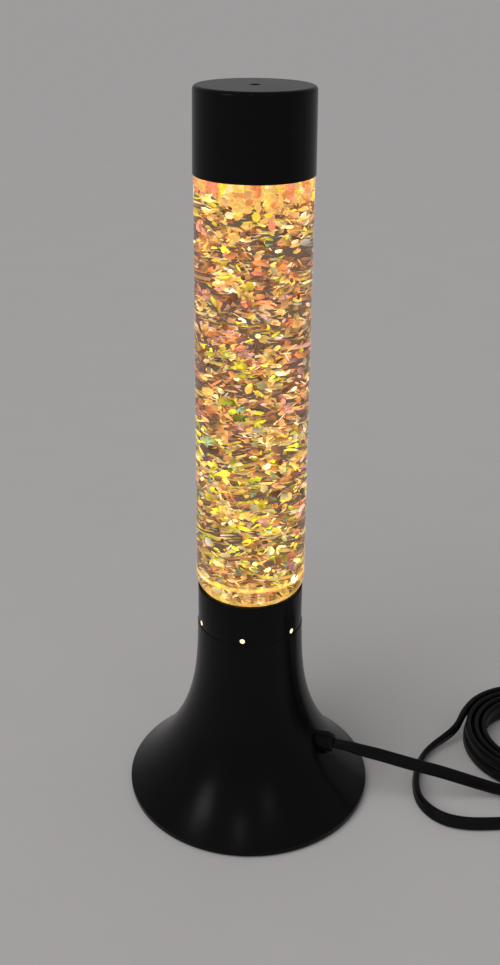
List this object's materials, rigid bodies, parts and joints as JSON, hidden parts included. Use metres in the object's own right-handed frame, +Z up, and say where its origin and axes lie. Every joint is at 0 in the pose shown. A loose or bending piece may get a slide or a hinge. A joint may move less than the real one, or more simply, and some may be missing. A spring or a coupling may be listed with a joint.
{
  "type": "glitter lamp",
  "caption": "Table glitter lamp: clear liquid-filled bottle with foil flakes on a flared black base with a bulb inside, lift-off cap and a flat cord with an inline rocker switch.",
  "frame": {"origin": "centre of the lamp on the table, under the rubber feet", "axes": "+Z up along the lamp's axis, -Y the front seen in the picture, +X to the right where the cord leaves"},
  "size_m": [0.3305, 0.1217, 0.3498],
  "materials": {
    "gloss_black_plastic": "high gloss",
    "black_plate": "satin",
    "zinc_steel": "zinc plated",
    "black_rubber": "matt",
    "white_holder": "matt",
    "brass": "bright",
    "brown_insulation": "satin",
    "blue_insulation": "satin",
    "solder": "dull",
    "black_glass": "gloss",
    "bulb_aluminium": "satin",
    "frosted_glass": "frosted",
    "stem_glass": "clear",
    "filament_wire": "dull",
    "clear_glass": "clear gloss",
    "clear_liquid": "clear",
    "foil_flakes": "metallic foil",
    "seal_foam": "matt",
    "closure_plastic": "satin",
    "black_cord": "satin",
    "black_tie": "satin",
    "black_switch": "satin",
    "black_plug": "satin"
  },
  "bodies": {
    "base": {"base_shell": "gloss_black_plastic", "bottom_plate": "black_plate", "plate_screws": "zinc_steel", "rubber_feet": "black_rubber", "collar": "gloss_black_plastic", "holder_bracket": "zinc_steel", "bracket_screws": "zinc_steel", "threaded_nipple": "zinc_steel", "lock_nut": "zinc_steel", "lamp_holder": "white_holder", "screw_shell": "brass", "centre_contact": "brass", "terminal_screws": "brass", "live_wire": "brown_insulation", "neutral_wire": "blue_insulation", "strain_relief": "black_cord", "mains_lead": "black_cord", "cord_coil": "black_cord", "coil_tie": "black_tie", "cord_tail": "black_cord", "switch_lower_case": "black_switch", "switch_upper_case": "black_switch", "switch_screws": "zinc_steel", "switch_contacts": "brass", "rocker_pin": "zinc_steel", "plug_lead": "black_cord", "plug_relief": "black_plug", "plug_body": "black_plug", "plug_pins": "brass", "pin_sleeves": "black_plug"},
    "bottle": {"bottle": "clear_glass", "glitter_liquid": "clear_liquid", "glitter_flakes": "foil_flakes", "closure_seal": "seal_foam", "bottle_closure": "closure_plastic"},
    "cap": {"cap": "gloss_black_plastic"},
    "bulb_foot": {"bulb_tip": "solder", "bulb_insulator": "black_glass"},
    "bulb": {"bulb_screw_cap": "bulb_aluminium", "bulb_glass": "frosted_glass", "bulb_stem": "stem_glass", "bulb_filament": "filament_wire"},
    "rocker": {"rocker": "black_switch"}
  },
  "joints": [
    {"name": "bottle_lift", "type": "slide", "parent": "base", "child": "bottle", "axis": [0, 0, 1], "range_m": [0, 0.06]},
    {"name": "cap_lift", "type": "slide", "parent": "bottle", "child": "cap", "axis": [0, 0, 1], "range_m": [0, 0.045]},
    {"name": "bulb_rise", "type": "slide", "parent": "base", "child": "bulb_foot", "axis": [0, 0, 1], "range_m": [0, 0.0071]},
    {"name": "bulb_turn", "type": "hinge", "parent": "bulb_foot", "child": "bulb", "pos_m": [0, 0, 0.044], "axis": [0, 0, 1], "range_deg": [0, 900]},
    {"name": "rocker_tilt", "type": "hinge", "parent": "base", "child": "rocker", "pos_m": [0.195, -0.038, 0.0105], "axis": [0, 1, 0], "range_deg": [-19, 0]}
  ],
  "couplings": [
    {"joint": "bulb_rise", "follows": "bulb_turn", "m_per_rad": 0.00044882}
  ]
}
